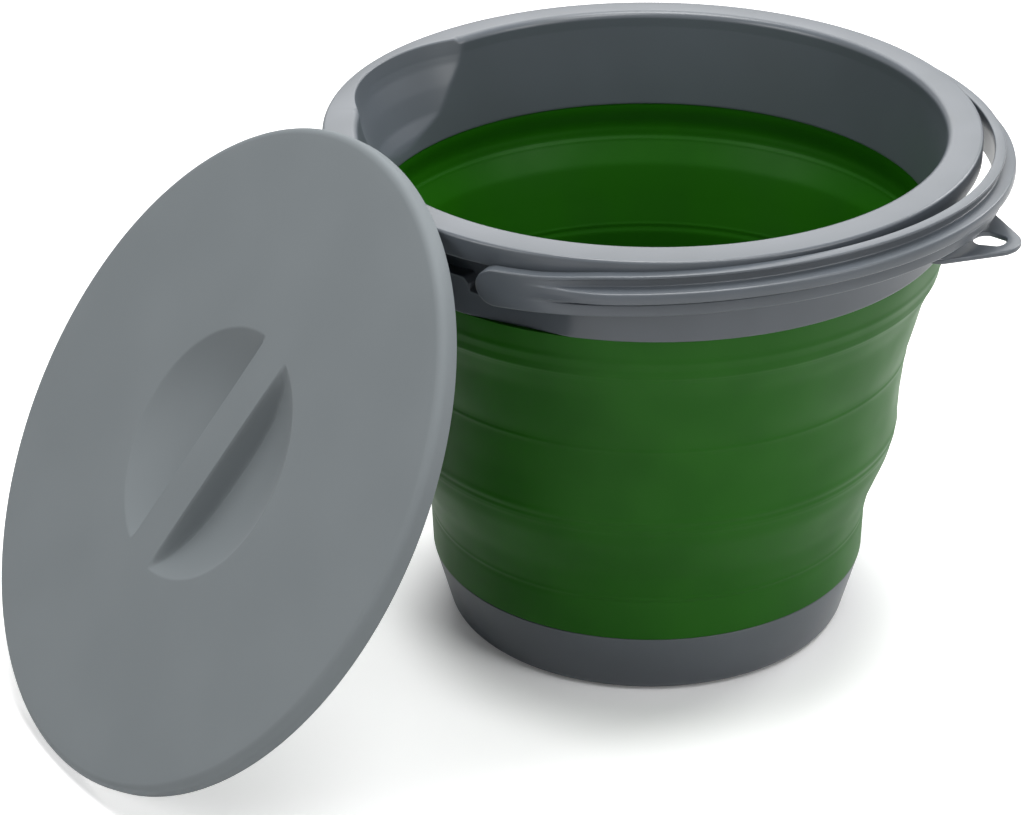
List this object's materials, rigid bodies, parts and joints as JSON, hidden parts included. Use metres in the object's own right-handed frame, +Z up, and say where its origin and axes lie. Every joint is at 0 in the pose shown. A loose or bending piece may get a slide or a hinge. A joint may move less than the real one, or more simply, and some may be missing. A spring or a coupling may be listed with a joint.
{
  "type": "collapsible bucket",
  "caption": "Round collapsible bucket with a flexible folding wall, rigid base and rim, pouring spout, hanging tab, folding bail handle and a loose lid leaning on it.",
  "frame": {"origin": "middle of the base's underside, on the floor that the bucket and the lid stand on", "axes": "+Z up along the bucket's axis; X through the handle's two pivots; -Y towards the folded handle and the hanging tab; +Y towards the spout"},
  "size_m": [0.4834, 0.4761, 0.2804],
  "materials": {
    "grey_polypropylene": "satin injection-moulded polypropylene",
    "lid_polypropylene": "fine-textured injection-moulded polypropylene",
    "green_rubber": "smooth moulded thermoplastic rubber"
  },
  "bodies": {
    "bucket_base": {"base": "grey_polypropylene", "wall_lower_cuff": "green_rubber", "wall_lower_fold": "green_rubber"},
    "bucket_middle": {"wall_middle_band": "green_rubber", "wall_upper_fold": "green_rubber"},
    "bucket_rim": {"rim": "grey_polypropylene", "wall_upper_cuff": "green_rubber"},
    "bail": {"handle": "grey_polypropylene"},
    "loose_lid": {"lid": "lid_polypropylene"}
  },
  "joints": [
    {"name": "fold_lower", "type": "slide", "parent": "bucket_base", "child": "bucket_middle", "axis": [0, 0, -1], "range_m": [0, 0.095], "deforming": ["wall_lower_fold"]},
    {"name": "fold_upper", "type": "slide", "parent": "bucket_middle", "child": "bucket_rim", "axis": [0, 0, -1], "range_m": [0, 0.094], "deforming": ["wall_upper_fold"]},
    {"name": "handle_swing", "type": "hinge", "parent": "bucket_rim", "child": "bail", "pos_m": [0, 0, 0.2471], "axis": [-1, 0, 0], "range_deg": [0, 120]},
    {"name": "lid_lift", "type": "slide", "parent": "bucket_base", "child": "loose_lid", "axis": [-0.7041, 0.4468, 0.5519], "range_m": [0, 0.3]}
  ],
  "couplings": [
    {"joint": "fold_lower", "follows": "fold_upper", "ratio": 1.0106}
  ]
}
